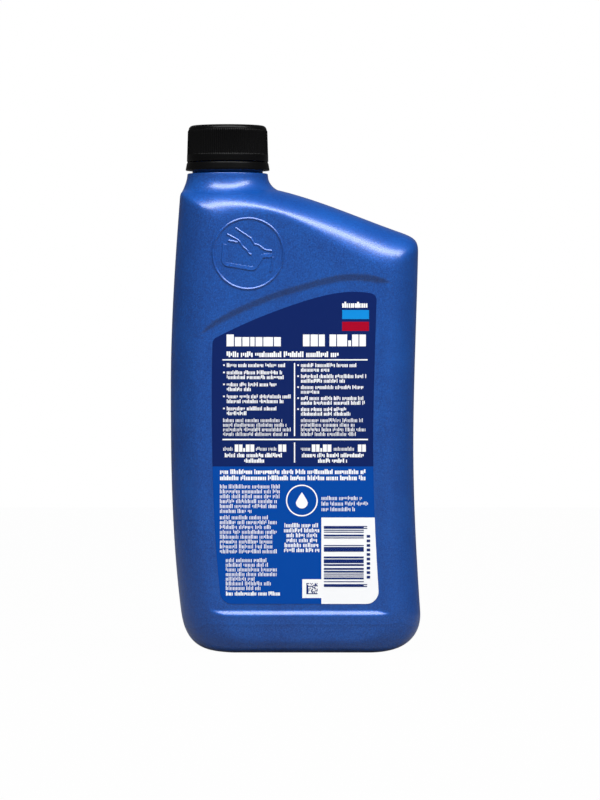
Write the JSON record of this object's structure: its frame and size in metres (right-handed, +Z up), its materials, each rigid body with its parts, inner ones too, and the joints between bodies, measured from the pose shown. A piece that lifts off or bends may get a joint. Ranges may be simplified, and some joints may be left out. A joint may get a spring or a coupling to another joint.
{
  "type": "motor oil bottle",
  "caption": "Blown plastic oil bottle with an offset screw neck, ribbed black cap, tamper band, film label and oil fill; the cap unscrews and lifts off.",
  "frame": {"origin": "centre of the bottle's base, on the surface it stands on", "axes": "+Z up along the bottle's height, X along its width with the neck towards -X, +Y through its depth, away from the labelled face"},
  "size_m": [0.111, 0.0574, 0.234],
  "materials": {
    "bottle_blue": "satin pearl blue",
    "cap_black": "satin moulded",
    "liner_white": "foamed sheet",
    "label_film": "printed film",
    "oil": "clear amber liquid"
  },
  "bodies": {
    "bottle": {"bottle": "bottle_blue", "tamper_band": "cap_black", "label": "label_film", "motor_oil": "oil"},
    "liner": {"cap_liner": "liner_white"},
    "cap": {"cap": "cap_black"}
  },
  "joints": [
    {"name": "cap_lift", "type": "slide", "parent": "bottle", "child": "liner", "axis": [0, 0, 1], "range_m": [0, 0.0191]},
    {"name": "cap_turn", "type": "hinge", "parent": "liner", "child": "cap", "pos_m": [-0.0303, 0, 0.226], "axis": [0, 0, 1], "range_deg": [0, 1620]}
  ],
  "couplings": [
    {"joint": "cap_lift", "follows": "cap_turn", "m_per_rad": 0.00067322}
  ]
}
